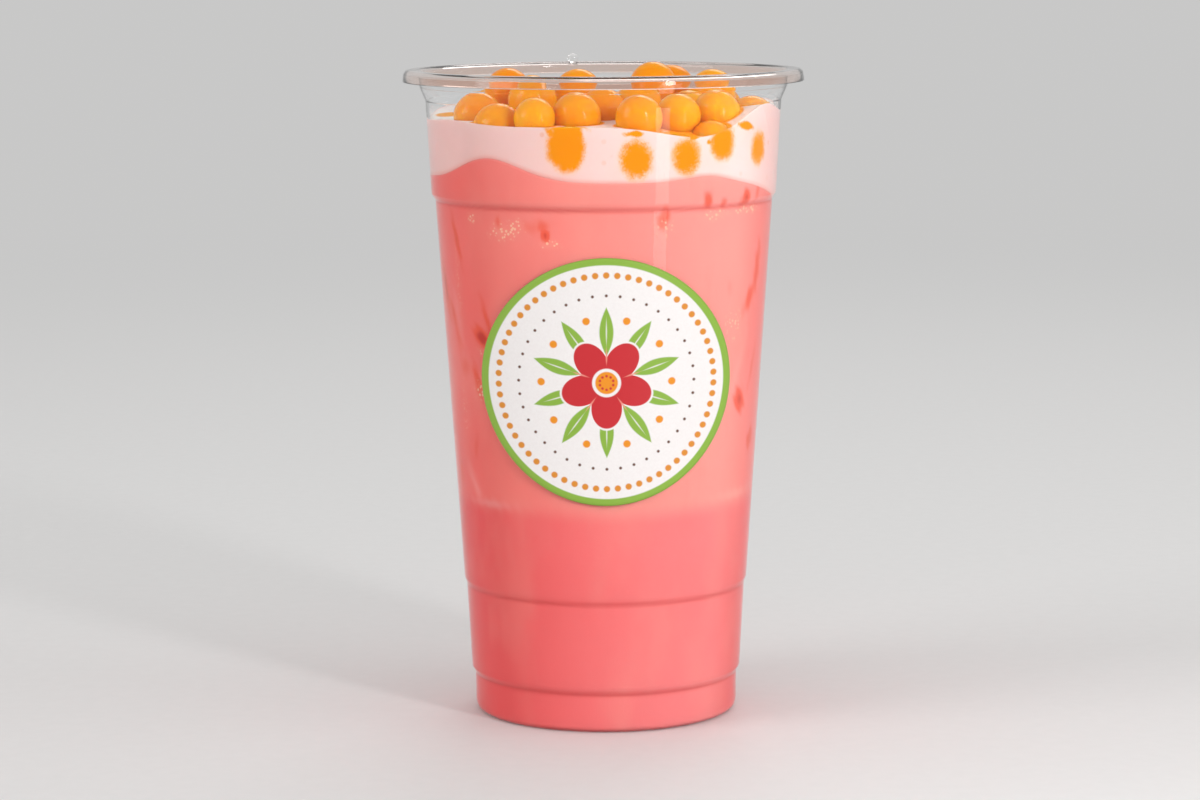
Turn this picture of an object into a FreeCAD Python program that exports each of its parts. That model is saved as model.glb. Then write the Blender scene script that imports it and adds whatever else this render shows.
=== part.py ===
"""Strawberry milk tea in a clear cold-drink cup.

The cup is one thin-walled shell with three ledges, a flared neck and a rim that turns down
into a short skirt. It holds pink milk tea, a wavy layer of milk foam and a heap of orange
popping pearls, some sunk in the foam and pressed flat on the wall. A round label is stuck
to the front of the wall.

Millimetres, +Z up. The origin is the middle of the foot, on the table. The front is -Y, and
angles round the cup run from there towards +X.
"""
import FreeCAD
import Part
import math
import os

import Sketcher

# Driving sizes: name, value, what it is.
SIZES = [
    ("cup_height", 153.5, "table to the top of the rim"),
    ("rim_radius", 47.5, "axis to the outside of the skirt's lower edge"),
    ("wall", 0.7, "thickness of the plastic"),
    ("lip_width", 4.0, "skirt's edge to the outside of the neck"),
    ("skirt_lean", 0.4, "how far the skirt leans out"),
    ("skirt_drop", 2.8, "rim's top to the skirt's lower edge"),
    ("flare_drop", 3.9, "rim's top to the end of the neck's flare"),
    ("neck_drop", 7.2, "rim's top to the start of the neck's flare"),
    ("neck_flare", 1.4, "how far the neck flares out"),
    ("high_drop", 30.5, "rim's top to the foot of the high ledge"),
    ("high_taper", 1.2, "loss of radius from the neck to the high ledge"),
    ("high_step", 0.9, "step in of the high ledge"),
    ("body_taper", 6.1, "loss of radius from the high ledge to the middle one"),
    ("mid_height", 30.9, "table to the foot of the middle ledge"),
    ("mid_step", 0.5, "step in of the middle ledge"),
    ("low_taper", 1.1, "loss of radius from the middle ledge to the low one"),
    ("low_height", 9.2, "table to the foot of the low ledge"),
    ("low_step", 0.8, "step in of the low ledge"),
    ("foot_taper", 0.1, "loss of radius from the low ledge to the table"),
    ("ledge_rise", 1.4, "height that a ledge's step takes"),
    ("ledge_round", 0.8, "rounding of a ledge's corners"),
    ("rim_round", 1.4, "rounding of the rim's upper corners, outside"),
    ("foot_round", 2.4, "rounding of the foot's outer corner, outside"),
    ("foot_ring", 5.8, "foot's outer side to the inner edge of what it stands on"),
    ("base_slope", 1.5, "width of the slope from the foot up to the base"),
    ("base_lift", 1.8, "table to the underside of the base"),
    ("tea_gap", 24.1, "rim's top to the mean top of the tea"),
    ("foam_gap", 11.8, "rim's top to the mean top of the foam"),
    ("label_height", 83.5, "table to the label's middle"),
    ("label_radius", 28.8, "radius of the label, seen from the front"),
    ("label_turn", 0.6, "label's place round the cup, degrees"),
    ("label_thick", 0.15, "thickness of the label"),
    ("pearl_diameter", 11.0, "a full-size pearl"),
    ("pearl_gap", 0.05, "least space between two pearls"),
    ("pearl_press", 0.4, "how flat a pearl of the heap may be pressed on the wall"),
]

# Swells of the tea's top and of the foam's top: place round the cup in degrees, distance from
# the wall, rise (negative for a hollow) and spread.
TEA_SWELLS = [
    (-40, 0, 5.3, 9),
    (35, 0, 1.3, 6),
    (88, 2, -6.2, 13),
    (150, 6, 1.2, 14),
    (-130, 8, -2.0, 14),
]
FOAM_SWELLS = [
    (-58, 0, 1.0, 8),
    (32, 0, -2.8, 9),
    (63, 0, 3.8, 7.5),
    (110, 2, 3.4, 12),
    (165, 4, 2.2, 12),
    (-120, 3, 2.6, 13),
    (90, 33, 2.6, 20),
]

# Pearls pressed on the wall inside the foam: place round the cup in degrees, how far the middle
# lies below the mean top of the foam, how much smaller than full size, and how flat.
PRESSED_PEARLS = [
    (-12, 4.2, 2.0, 1.6),
    (10.4, 6.6, 1.6, 0.7),
    (27.3, 6.3, 2.0, 0.6),
    (41.3, 3.5, 2.0, 0.6),
    (60, 5.4, 3.2, 0.5),
    (104, 4.0, 1.8, 0.6),
    (139, 5.2, 1.6, 0.8),
    (-163, 4.8, 1.8, 0.6),
    (-95, 4.6, 1.4, 0.6),
]

# Pearls of the heap, from the lowest up: x, y, how far the middle lies above the mean top of the
# foam, and how much smaller than full size.
HEAP_PEARLS = [
    (-24, -25.5, -0.8, 0.3),
    (-12.5, -4, -0.6, 0.4),
    (34.5, -12, 0.6, 0.6),
    (17, -25, 0.8, 0.8),
    (-14, 7, 0.9, 0.3),
    (3.5, 3, 0.9, 0.4),
    (6.5, 15, 1.0, 0.2),
    (-4.5, 13, 1.1, 0.3),
    (-15, 19, 1.3, 0.5),
    (-27, 8, 1.4, 0.4),
    (20, -8, 1.5, 0.3),
    (26, -19.5, 1.5, 0.2),
    (8, -31, 1.6, 0.6),
    (8, 26, 1.6, 0.6),
    (28, 11, 1.8, 0.4),
    (19, 24, 1.8, 0.4),
    (-4, 25, 1.8, 0.1),
    (-15.7, -31, 1.9, 1.8),
    (-6.2, -27, 1.9, 0.0),
    (-29, -14, 1.6, 0.0),
    (-0.3, -17, 2.5, 0.2),
    (8.2, -9.5, 3.6, 0.2),
    (-16.5, -14, 5.3, 0.1),
    (25.8, 0, 6.0, 0.1),
    (-6, 2, 6.1, 0.2),
    (-22.5, -3, 6.5, 0.0),
    (16.4, 13, 6.5, 0.2),
    (11.8, 3, 7.8, 0.0),
]

GRID_POINTS = 19
SHEET_NAME = "Sizes"
STATES_OF_FAILURE = ("Invalid", "Error")


def make_sheet(doc):
    """The sheet of driving sizes, one row each, and the same sizes as a dictionary."""
    sheet = doc.addObject("Spreadsheet::Sheet", SHEET_NAME)
    for row, (name, value, note) in enumerate(SIZES, start=1):
        sheet.set("A%d" % row, name)
        sheet.set("B%d" % row, str(value))
        sheet.setAlias("B%d" % row, name)
        sheet.set("C%d" % row, note)
    doc.recompute()
    return {name: float(sheet.get(name)) for name, _, _ in SIZES}


def total(size, terms):
    """The sum of named sizes: a word is added, and a word after a minus sign is taken off."""
    return sum(-size[t[1:]] if t.startswith("-") else size[t] for t in terms.split())


def formula(terms):
    """The same sum as an expression on the sheet's cells."""
    words = [("-" if t[0] == "-" else "+") + SHEET_NAME + "." + t.lstrip("-") for t in terms.split()]
    return " ".join(words).lstrip("+")


def wall_rings():
    """The outside of the wall from the foot up to the neck, as sums of names for radius and height.

    Each ledge has a ring at its foot and one at its head.
    """
    neck = "rim_radius -lip_width -neck_flare"
    above_high = neck + " -high_taper"
    below_high = above_high + " -high_step"
    above_mid = below_high + " -body_taper"
    below_mid = above_mid + " -mid_step"
    above_low = below_mid + " -low_taper"
    below_low = above_low + " -low_step"
    foot = below_low + " -foot_taper"
    return [
        (foot, ""),
        (below_low, "low_height"),
        (above_low, "low_height ledge_rise"),
        (below_mid, "mid_height"),
        (above_mid, "mid_height ledge_rise"),
        (below_high, "cup_height -high_drop"),
        (above_high, "cup_height -high_drop ledge_rise"),
        (neck, "cup_height -neck_drop"),
        ("rim_radius -lip_width", "cup_height -flare_drop"),
    ]


def cup_corners():
    """The corners of the cup's section, anticlockwise from the middle of the base's underside."""
    rings = wall_rings()
    foot = rings[0][0]
    neck = rings[-1][0]
    under_rim = "cup_height -wall"
    underside = [
        ("", "base_lift"),
        (foot + " -foot_ring -base_slope", "base_lift"),
        (foot + " -foot_ring", ""),
    ]
    rim = [
        (neck, under_rim),
        ("rim_radius -skirt_lean -wall", under_rim),
        ("rim_radius -wall", "cup_height -skirt_drop"),
        ("rim_radius", "cup_height -skirt_drop"),
        ("rim_radius -skirt_lean", "cup_height"),
        (neck + " -wall", "cup_height"),
    ]
    inside = [(r + " -wall", z) for r, z in reversed(rings[1:])]
    floor = [
        (foot + " -wall", "wall"),
        (foot + " -foot_ring wall", "wall"),
        (foot + " -foot_ring -base_slope wall", "base_lift wall"),
        ("", "base_lift wall"),
    ]
    return underside + rings + rim + inside + floor


def section_sketch(body, size, corners):
    """A closed sketch in the XZ plane whose corners are tied to the sheet."""
    sketch = body.newObject("Sketcher::SketchObject", "CupSection")
    plane = [p for p in body.Origin.OriginFeatures if p.Role == "XZ_Plane"][0]
    sketch.AttachmentSupport = [(plane, "")]
    sketch.MapMode = "FlatFace"
    points = [FreeCAD.Vector(total(size, r), total(size, z), 0) for r, z in corners]
    count = len(points)
    for i in range(count):
        sketch.addGeometry(Part.LineSegment(points[i], points[(i + 1) % count]), False)
    for i in range(count):
        sketch.addConstraint(Sketcher.Constraint("Coincident", i, 2, (i + 1) % count, 1))
    for i, places in enumerate(corners):
        for kind, terms, across in (("DistanceX", places[0], -2), ("DistanceY", places[1], -1)):
            if terms:
                value = total(size, terms)
                index = sketch.addConstraint(Sketcher.Constraint(kind, -1, 1, i, 1, value))
                sketch.setExpression("Constraints[%d]" % index, formula(terms))
            else:
                sketch.addConstraint(Sketcher.Constraint("PointOnObject", i, 1, across))
    return sketch


def ring_edges(size, shape, corners):
    """The names of the shape's circles that run through these corners of the section."""
    names = []
    for r, z in corners:
        place = FreeCAD.Vector(0, 0, total(size, z))
        for number, edge in enumerate(shape.Edges, start=1):
            if not isinstance(edge.Curve, Part.Circle):
                continue
            off = edge.Curve.Center.distanceToPoint(place) + abs(edge.Curve.Radius - total(size, r))
            if off < 1e-4:
                names.append("Edge%d" % number)
    return names


def round_rings(doc, body, size, name, corners, radius):
    """Round the cup at these corners of its section. The radius is a sum of sizes."""
    base = body.Tip
    fillet = body.newObject("PartDesign::Fillet", name)
    fillet.Base = (base, ring_edges(size, base.Shape, corners))
    fillet.Radius = total(size, radius)
    fillet.setExpression("Radius", formula(radius))
    doc.recompute()


def make_cup(doc, size):
    """The clear cup: its section turned about the axis, with rounded ledges, rim and foot."""
    body = doc.addObject("PartDesign::Body", "Cup")
    body.Label = "cup"
    corners = cup_corners()
    sketch = section_sketch(body, size, corners)
    turn = body.newObject("PartDesign::Revolution", "CupWall")
    turn.Profile = (sketch, [""])
    turn.ReferenceAxis = (sketch, ["V_Axis"])
    turn.Angle = 360
    doc.recompute()
    rings = wall_rings()
    ledges = rings[1:7]
    insides = [(r + " -wall", z) for r, z in ledges]
    neck = rings[-1][0]
    foot = rings[0][0]
    rim_outside = [("rim_radius -skirt_lean", "cup_height"), (neck + " -wall", "cup_height")]
    rim_inside = [("rim_radius -skirt_lean -wall", "cup_height -wall"), (neck, "cup_height -wall")]
    round_rings(doc, body, size, "LedgeRounds", ledges + insides, "ledge_round")
    round_rings(doc, body, size, "RimOutside", rim_outside, "rim_round")
    round_rings(doc, body, size, "RimInside", rim_inside, "rim_round -wall")
    round_rings(doc, body, size, "FootOutside", [(foot, "")], "foot_round")
    round_rings(doc, body, size, "FootInside", [(foot + " -wall", "wall")], "foot_round -wall")
    return body


def inner_radius(size, z):
    """The cup's inner radius at a height, along the straight runs between its rings."""
    rings = [(total(size, t), total(size, r) - size["wall"]) for r, t in wall_rings()]
    for (low, r_low), (high, r_high) in zip(rings, rings[1:]):
        if z <= high:
            return r_low + (r_high - r_low) * (z - low) / (high - low)
    return rings[-1][1]


def cup_hollow(size, cup):
    """The space inside the cup, up to the rim: a plug as wide as the middle of the wall, less the cup."""
    half = size["wall"] / 2
    points = [FreeCAD.Vector(0, 0, size["base_lift"] + half)]
    foot = total(size, wall_rings()[0][0])
    points.append(FreeCAD.Vector(foot - size["foot_ring"], 0, size["base_lift"] + half))
    points.append(FreeCAD.Vector(foot - size["foot_ring"], 0, half))
    points.append(FreeCAD.Vector(foot - size["foot_round"], 0, half))
    points.append(FreeCAD.Vector(foot - half, 0, size["foot_round"]))
    for r, z in wall_rings()[1:]:
        points.append(FreeCAD.Vector(total(size, r) - half, 0, total(size, z)))
    neck = total(size, wall_rings()[-1][0])
    points.append(FreeCAD.Vector(neck - half, 0, size["cup_height"] - size["rim_round"]))
    points.append(FreeCAD.Vector(0, 0, size["cup_height"] - size["rim_round"]))
    outline = Part.Face(Part.makePolygon(points + points[:1]))
    plug = outline.revolve(FreeCAD.Vector(), FreeCAD.Vector(0, 0, 1), 360)
    rest = plug.cut(cup).Solids
    return max(rest, key=lambda solid: solid.Volume)


def level_at(size, swells, gap, x, y):
    """The height of a layer's top: its mean level plus its swells, each a bell of the distance."""
    level = size["cup_height"] - gap
    radius = inner_radius(size, level)
    height = level
    for angle, inward, rise, spread in swells:
        a = math.radians(angle)
        away = math.hypot(x - (radius - inward) * math.sin(a), y + (radius - inward) * math.cos(a))
        height += rise * math.exp(-0.5 * (away / spread) ** 2)
    return height


def under_top(size, swells, gap):
    """Everything under a layer's top: a spline sheet over the cup, carried down to the table."""
    reach = size["rim_radius"]
    step = 2 * reach / (GRID_POINTS - 1)
    places = [-reach + step * i for i in range(GRID_POINTS)]
    points = [[FreeCAD.Vector(x, y, level_at(size, swells, gap, x, y)) for y in places] for x in places]
    sheet = Part.BSplineSurface()
    sheet.interpolate(points)
    return sheet.toShape().extrude(FreeCAD.Vector(0, 0, -size["cup_height"]))


def clear_height(size, placed, x, y, radius, wanted):
    """The height of a pearl's middle: as wanted, or just clear of the pearls placed before it."""
    height = wanted
    for _ in placed:
        lift = height
        for px, py, pz, other in placed:
            need = radius + other + size["pearl_gap"]
            flat = math.hypot(x - px, y - py)
            if flat < need and abs(lift - pz) < math.sqrt(need ** 2 - flat ** 2):
                lift = pz + math.sqrt(need ** 2 - flat ** 2)
        if lift == height:
            return height
        height = lift
    return height


def settle_pearls(size):
    """The middle and radius of every pearl: those pressed on the wall, then the heap."""
    placed = []
    full = size["pearl_diameter"] / 2
    level = size["cup_height"] - size["foam_gap"]
    for angle, below, less, flat in PRESSED_PEARLS:
        radius = full - less / 2
        height = level - below
        a = math.radians(angle)
        out = inner_radius(size, height) - radius + flat
        x, y = out * math.sin(a), -out * math.cos(a)
        placed.append((x, y, clear_height(size, placed, x, y, radius, height), radius))
    for x, y, rise, less in HEAP_PEARLS:
        radius = full - less / 2
        reach = inner_radius(size, level + rise) - radius + size["pearl_press"]
        inward = min(1, reach / math.hypot(x, y))
        x, y = x * inward, y * inward
        placed.append((x, y, clear_height(size, placed, x, y, radius, level + rise), radius))
    return placed


def make_pearls(doc, size, hollow):
    """The pearls, each a ball; one that reaches the wall is cut flat there by the cup's hollow.

    A pressed ball's pole faces the wall, so that the cut runs round it.
    """
    space = doc.addObject("Part::Feature", "CupHollow")
    space.Shape = hollow
    pearls = []
    lesses = [p[2] for p in PRESSED_PEARLS] + [p[3] for p in HEAP_PEARLS]
    for number, (place, less) in enumerate(zip(settle_pearls(size), lesses), start=1):
        x, y, z, radius = place
        ball = doc.addObject("Part::Sphere", "Ball%02d" % number)
        ball.setExpression("Radius", "(%s.pearl_diameter - %s) / 2" % (SHEET_NAME, less))
        up = FreeCAD.Vector(0, 0, 1)
        pole = FreeCAD.Vector(x, y, 0) if number <= len(PRESSED_PEARLS) else up
        ball.Placement = FreeCAD.Placement(FreeCAD.Vector(x, y, z), FreeCAD.Rotation(up, pole))
        pearl = ball
        if math.hypot(x, y) + radius > inner_radius(size, z) - 0.01:
            pearl = doc.addObject("Part::Common", "Pearl%02d" % number)
            pearl.Base = ball
            pearl.Tool = space
        pearl.Label = "pearl_%02d" % number
        pearls.append(pearl)
    doc.recompute()
    return pearls


def make_contents(doc, size, hollow, pearls):
    """The milk tea up to its wavy top, and the foam on it, with a pocket cut for each pearl in turn."""
    under_foam = under_top(size, FOAM_SWELLS, size["foam_gap"])
    under_tea = under_top(size, TEA_SWELLS, size["tea_gap"])
    tea = doc.addObject("Part::Feature", "MilkTea")
    tea.Label = "milk_tea"
    tea.Shape = hollow.common(under_tea).Solids[0]
    foam = doc.addObject("Part::Feature", "MilkFoam")
    foam.Label = "milk_foam"
    layer = hollow.common(under_foam).cut(under_tea)
    for pearl in pearls:
        layer = layer.cut(pearl.Shape)
    foam.Shape = max(layer.Solids, key=lambda solid: solid.Volume)
    return [tea, foam]


def wall_cone(doc, size, name, extra):
    """A cone on the straight wall between the middle and the high ledge, thicker by a sum of sizes."""
    rings = wall_rings()
    low, high = rings[4], rings[5]
    cone = doc.addObject("Part::Cone", name)
    height = "cup_height -high_drop -mid_height -ledge_rise"
    for field, terms in (("Radius1", low[0] + extra), ("Radius2", high[0] + extra), ("Height", height)):
        setattr(cone, field, total(size, terms))
        cone.setExpression(field, formula(terms))
    cone.setExpression("Placement.Base.z", formula(low[1]))
    return cone


def make_label(doc, size):
    """The label: a skin on the wall, trimmed to a circle as seen from the front."""
    skin = doc.addObject("Part::Cut", "LabelSkin")
    skin.Base = wall_cone(doc, size, "LabelOutside", " label_thick")
    skin.Tool = wall_cone(doc, size, "LabelInside", "")
    punch = doc.addObject("Part::Cylinder", "LabelPunch")
    punch.setExpression("Radius", formula("label_radius"))
    punch.setExpression("Height", formula("rim_radius"))
    forward = FreeCAD.Rotation(FreeCAD.Vector(1, 0, 0), 90)
    turned = FreeCAD.Rotation(FreeCAD.Vector(0, 0, 1), size["label_turn"])
    punch.Placement = FreeCAD.Placement(FreeCAD.Vector(), turned.multiply(forward))
    punch.setExpression("Placement.Base.z", formula("label_height"))
    label = doc.addObject("Part::Common", "Label")
    label.Label = "label"
    label.Base = skin
    label.Tool = punch
    doc.recompute()
    return label


def check(doc, nodes):
    """Stop if any object failed, or if a sub-part is empty, broken or not one solid."""
    doc.recompute()
    for thing in doc.Objects:
        if any(state in thing.State for state in STATES_OF_FAILURE):
            raise RuntimeError("%s failed: %s" % (thing.Name, thing.State))
    for node in nodes:
        shape = node.Shape
        if shape.isNull() or not shape.isValid() or len(shape.Solids) != 1:
            raise RuntimeError("%s has no sound shape of one solid" % node.Label)


def write_parts(nodes):
    """Write each sub-part to a STEP file named after its label."""
    os.makedirs("parts", exist_ok=True)
    for node in nodes:
        node.Shape.Solids[0].exportStep("parts/%s.step" % node.Label)
        print("%-10s %9.1f mm3" % (node.Label, node.Shape.Volume))


def main():
    doc = FreeCAD.newDocument("MilkTea")
    size = make_sheet(doc)
    cup = make_cup(doc, size)
    hollow = cup_hollow(size, cup.Shape)
    pearls = make_pearls(doc, size, hollow)
    contents = make_contents(doc, size, hollow, pearls)
    label = make_label(doc, size)
    nodes = [cup] + contents + [label] + pearls
    check(doc, nodes)
    write_parts(nodes)


main()
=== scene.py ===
"""Strawberry milk tea in a clear cup: milk foam on the tea, popping pearls heaped on it, a round label.

Lengths are in millimetres until a mesh is made. An angle is in degrees round the cup's axis, from the
front (-Y) at 0 towards +X at 90. Rows of a grid run along a piece's section and columns run round it.
"""

import math

import bpy
import numpy as np
from mathutils import Euler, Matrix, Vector


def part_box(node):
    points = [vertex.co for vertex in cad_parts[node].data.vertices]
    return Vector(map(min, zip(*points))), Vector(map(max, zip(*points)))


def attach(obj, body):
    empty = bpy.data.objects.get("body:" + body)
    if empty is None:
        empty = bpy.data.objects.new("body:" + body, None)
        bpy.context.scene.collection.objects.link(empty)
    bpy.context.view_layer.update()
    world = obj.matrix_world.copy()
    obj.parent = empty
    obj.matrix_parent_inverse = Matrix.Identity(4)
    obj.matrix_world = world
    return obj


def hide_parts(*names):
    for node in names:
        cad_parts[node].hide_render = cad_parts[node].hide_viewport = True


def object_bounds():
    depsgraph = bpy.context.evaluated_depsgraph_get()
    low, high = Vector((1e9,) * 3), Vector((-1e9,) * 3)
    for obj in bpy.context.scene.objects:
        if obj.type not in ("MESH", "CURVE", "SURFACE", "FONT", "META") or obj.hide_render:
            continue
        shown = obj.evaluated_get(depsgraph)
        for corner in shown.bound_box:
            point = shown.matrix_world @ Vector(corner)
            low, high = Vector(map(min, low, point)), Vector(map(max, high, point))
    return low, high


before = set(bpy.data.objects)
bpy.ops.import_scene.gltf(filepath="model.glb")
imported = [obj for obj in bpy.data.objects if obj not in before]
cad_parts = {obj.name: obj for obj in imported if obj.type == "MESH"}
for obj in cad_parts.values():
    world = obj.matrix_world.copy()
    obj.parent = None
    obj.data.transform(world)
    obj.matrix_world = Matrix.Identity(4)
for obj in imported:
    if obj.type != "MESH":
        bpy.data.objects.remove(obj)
CAD_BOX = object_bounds()
MM = 0.001

PEARLS = sorted(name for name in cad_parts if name.startswith("pearl_"))

# The cup: its wall, and the rings that its outside runs through, as (radius, height, rounding).
WALL = 0.7
FOOT = 31.4
FOOT_RING = 5.8
BASE_LIFT = 1.8
BASE_SLOPE = 1.5
RINGS = [
    (31.5, 9.2, 0.8),
    (32.3, 10.6, 0.5),
    (33.4, 30.9, 0.5),
    (33.9, 32.3, 0.8),
    (40.0, 123.0, 0.5),
    (40.9, 124.4, 0.8),
    (42.1, 146.3, 0.8),
    (43.5, 149.6, 0.8),
]
RIM_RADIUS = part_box("cup")[1].x / MM
RIM_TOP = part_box("cup")[1].z / MM
SKIRT_DROP = 2.8
SKIRT_LEAN = 0.4
# How far tea, foam and pearls reach into the wall's thickness, so that no air shows between them and it.
SEATED = 0.1
FOAM_SEATED = SEATED + 0.02
PEARL_SEATED = SEATED - 0.06

# Mean tops of tea and foam, the swells on them as (angle, inward from the wall, rise, spread), and how
# far the foam's underside lies below the tea's top.
TEA_TOP = 129.4
TEA_SWELLS = [
    (-40, 0, 5.3, 9),
    (35, 0, 1.3, 6),
    (88, 2, -6.2, 13),
    (150, 6, 1.2, 14),
    (-130, 8, -2.0, 14),
]
FOAM_TOP = 141.7
FOAM_SWELLS = [
    (-58, 0, 1.0, 8),
    (32, 0, -2.8, 9),
    (63, 0, 3.8, 7.5),
    (110, 2, 3.4, 12),
    (165, 4, 2.2, 12),
    (-120, 3, 2.6, 13),
    (90, 33, 2.6, 20),
]
FOAM_LAP = 0.15

# Crushed berry that shows at the wall, as (angle, height, half width, half height, lean, strength).
BERRY_MARKS = [
    (-21, 119.2, 1.5, 1.2, 0.2, 0.5),
    (-20, 117.3, 0.8, 1.1, 0.1, 1.0),
    (-24, 119, 2.6, 1.4, 0.0, 0.3),
    (-61, 115, 0.7, 4.0, -0.3, 0.85),
    (-38, 120, 0.6, 1.3, 0.0, 0.4),
    (-75, 103, 1.3, 4.6, -0.25, 0.95),
    (-68, 97, 0.8, 3.0, -0.4, 0.6),
    (-49, 92.5, 1.7, 1.7, -0.5, 1.25),
    (-46, 97, 0.7, 4.0, -0.3, 0.55),
    (-53, 82, 1.0, 3.0, -0.3, 0.7),
    (-65, 92, 1.3, 3.0, -0.3, 0.4),
    (-61, 85, 1.8, 1.8, 0.0, 0.35),
    (-57, 66, 0.8, 2.6, 0.2, 0.35),
    (-72, 59, 1.0, 3.2, 0.0, 0.4),
    (20, 121, 0.9, 1.7, 0.1, 0.75),
    (36, 124.8, 1.0, 1.6, 0.0, 0.6),
    (43, 124, 0.8, 1.0, 0.0, 0.5),
    (54, 124.8, 1.2, 1.3, 0.2, 0.85),
    (61, 126, 0.7, 2.4, 0.3, 0.4),
    (67, 108, 1.1, 4.6, 0.1, 0.6),
    (62, 101, 1.4, 2.6, 0.5, 0.6),
    (49, 104, 1.0, 2.0, 0.0, 0.2),
    (59, 77, 1.5, 2.0, -0.2, 0.9),
    (68, 84, 0.8, 4.5, 0.3, 0.35),
    (71, 67, 1.4, 1.8, 0.2, 0.7),
    (125, 96, 1.8, 4.0, 0.2, 0.7),
    (160, 112, 2.2, 2.0, 0.0, 0.6),
    (-165, 84, 1.2, 5.0, -0.3, 0.6),
    (-135, 104, 1.8, 2.4, 0.0, 0.7),
    (-105, 74, 1.0, 4.0, 0.2, 0.5),
    (178, 62, 1.6, 1.6, 0.0, 0.6),
]
# Specks of pale froth at the wall, in the same form.
FROTH_MARKS = [
    (-37, 117.6, 1.9, 1.1, 0.0, 1.3),
    (-31, 118.8, 1.4, 1.3, 0.0, 0.8),
    (-19, 115.2, 1.5, 0.6, 0.0, 1.2),
    (-50, 120.5, 1.2, 0.7, 0.0, 0.8),
    (41, 121.4, 2.6, 0.8, 0.0, 1.1),
    (57, 122, 3.4, 0.8, 0.0, 1.0),
    (20, 119.5, 1.8, 2.4, 0.0, 0.5),
    (52, 95, 2.6, 3.0, 0.0, 0.45),
    (-51, 80, 1.8, 1.6, 0.0, 0.8),
    (-47, 89, 2.0, 1.0, 0.0, 0.6),
    (-64, 74, 1.4, 8.0, 0.0, 0.3),
    (-62, 104, 1.2, 9.0, 0.0, 0.3),
    (140, 108, 3.0, 1.0, 0.0, 0.7),
    (-150, 116, 3.0, 1.0, 0.0, 0.7),
    (-120, 88, 2.0, 2.0, 0.0, 0.6),
]
# Pearl juice that shows through the foam at the wall, in the same form.
FOAM_STAINS = [
    (-12, 141.6, 3.6, 2.6, 0.0, 1.1),
    (9.7, 140.5, 2.0, 0.6, 0.0, 1.0),
    (30, 139.4, 1.8, 0.5, 1.2, 0.9),
    (35.4, 138.1, 0.5, 0.5, 0.0, 0.95),
    (52, 141.4, 2.2, 0.9, -1.2, 1.1),
]
# Rims of ice blocks that rest on the wall, in the same form.
ICE_RIMS = [
    (-51, 53.2, 4.6, 0.7, 0.0, 1.0),
    (-59, 56.5, 1.0, 3.2, -0.6, 0.8),
    (-64, 97, 1.0, 5.0, -0.2, 0.6),
    (60, 54.5, 5.0, 0.8, 0.0, 0.7),
    (56, 84, 1.0, 5.0, 0.4, 0.5),
    (130, 60, 6.0, 1.0, 0.0, 0.8),
    (-140, 70, 1.2, 6.0, 0.3, 0.7),
]
# The height where the ice ends and how far it fades above and below it, and the heights of the wall's
# ledges and the spread of the painted shade lines at them.
ICE_FLOOR = 52.5
ICE_FADE = 2.5
LEDGES = np.array([height for _, height, _ in RINGS[:6:2]]) + 0.1
LEDGE_SHADE_SPREAD = 0.55

# Pearls: how much a free one swells and the most that any does, how near a wall draws one out to it and
# how far it then presses in, how many of the first ones stand against the wall inside the foam, and the
# side where light gathers in their juice.
SWELL = 1.04
MOST_SWELL = 1.12
WALL_DRAW = 1.0
WALL_PRESS = 0.35
PRESSED = 9
GLOW_SIDE = (-0.62, 0.15, -0.77)

# The label: its middle's height, its radius, its turn round the cup, and how far its face and its back
# stand out from the wall.
LABEL_HEIGHT = 83.5
LABEL_RADIUS = 28.8
LABEL_TURN = 0.6
LABEL_THICK = 0.15
LABEL_BACK = 0.01

# The drop on the rim: where it stands, its half width and half height, how high its middle is above the
# rim's top, and how far its flat foot sits into the rim.
DROP_X = -7.5
DROP_Y = 45.4
DROP_WIDE = 1.35
DROP_TALL = 1.25
DROP_LIFT = 0.75
DROP_SUNK = 0.05


# ---------------------------------------------------------------- sections and meshes


def rounded(corners, steps=6):
    """A section's line through corners (radius, height, rounding), each corner turned as a soft bend.

    A bend starts and ends rounding * tan(half its turn) from its corner, at most 0.45 of the run there,
    and between them it is the quadratic curve (1-t)^2 start + 2t(1-t) corner + t^2 end.
    """
    points = np.array([c[:2] for c in corners], float)
    runs = np.diff(points, axis=0)
    lengths = np.linalg.norm(runs, axis=1)
    ways = runs / lengths[:, None]
    turns = np.arccos(np.clip((ways[:-1] * ways[1:]).sum(1), -1, 1))
    cuts = np.array([c[2] for c in corners[1:-1]]) * np.tan(turns / 2)
    cuts = np.minimum(cuts, 0.45 * np.minimum(lengths[:-1], lengths[1:]))
    starts = points[1:-1] - ways[:-1] * cuts[:, None]
    ends = points[1:-1] + ways[1:] * cuts[:, None]
    t = np.linspace(0, 1, steps)[None, :, None]
    bends = (1 - t) ** 2 * starts[:, None] + 2 * t * (1 - t) * points[1:-1, None] + t**2 * ends[:, None]
    return np.concatenate([points[:1], bends.reshape(-1, 2), points[-1:]])


OUTSIDE = rounded([(FOOT, 0, 0), *RINGS, (RINGS[-1][0], RIM_TOP, 0)])


def outer_radius(z):
    """The radius of the wall's outside at a height."""
    return np.interp(z, OUTSIDE[:, 1], OUTSIDE[:, 0])


def inner_radius(z):
    """The radius of the wall's inside at a height."""
    return outer_radius(z) - WALL


def round_the_cup(radius, angle):
    """x and y of a radius at an angle in radians: x = r sin(angle), y = -r cos(angle)."""
    return radius * np.sin(angle), -radius * np.cos(angle)


def level(mean, swells, x, y):
    """The height of a top: its mean, plus rise * exp(-(d / spread)^2 / 2) for each swell's distance d."""
    height = np.full(np.shape(x), float(mean))
    for angle, inward, rise, spread in swells:
        cx, cy = round_the_cup(inner_radius(mean) - inward, math.radians(angle))
        height += rise * np.exp(-0.5 * ((x - cx) ** 2 + (y - cy) ** 2) / spread**2)
    return height


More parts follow.
